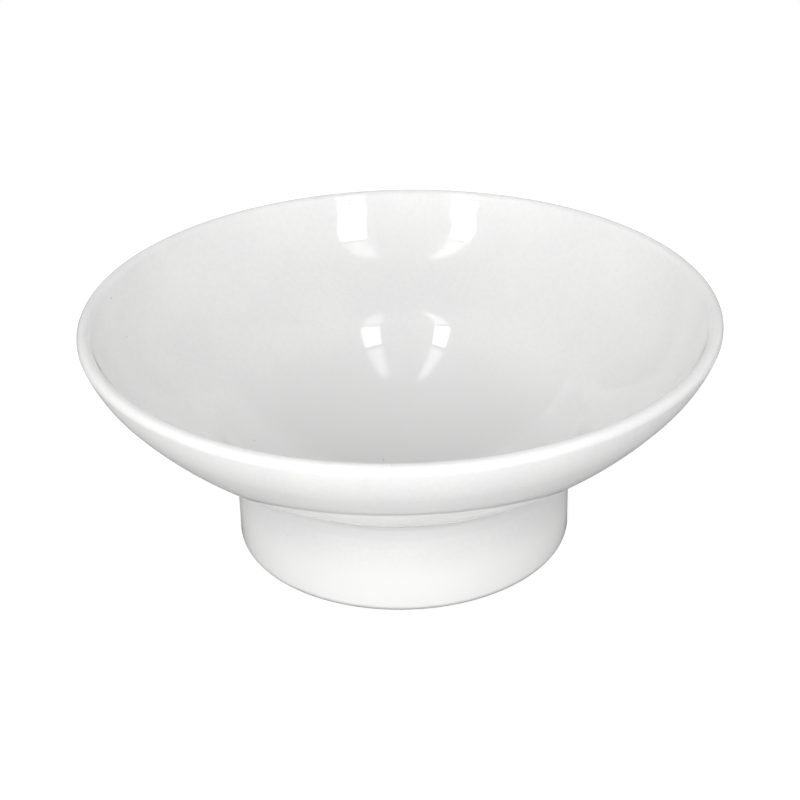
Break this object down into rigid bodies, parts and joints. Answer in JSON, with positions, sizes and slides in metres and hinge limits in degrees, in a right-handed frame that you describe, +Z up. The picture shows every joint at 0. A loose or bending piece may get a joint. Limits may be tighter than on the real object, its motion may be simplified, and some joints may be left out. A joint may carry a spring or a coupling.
{
  "type": "footed bowl",
  "caption": "Round porcelain bowl, glazed white, with a rounded lip, a flared wall and a round dish in the middle, on a hollow upright foot ring; holds fruit, sweets or food.",
  "frame": {"origin": "on the table plane, under the middle of the bowl, at the centre of the standing ring", "axes": "+Z up along the bowl's axis; X and Y level, and the bowl is round about Z"},
  "size_m": [0.16, 0.16, 0.0625],
  "materials": {
    "shell_glaze": "clear gloss glaze over white porcelain",
    "seam_glaze": "fired slip under the same gloss glaze",
    "foot_glaze": "clear gloss glaze, with a bare ground standing ring"
  },
  "bodies": {
    "root": {"bowl_shell": "shell_glaze", "slip_seam": "seam_glaze", "foot_ring": "foot_glaze"}
  },
  "joints": []
}
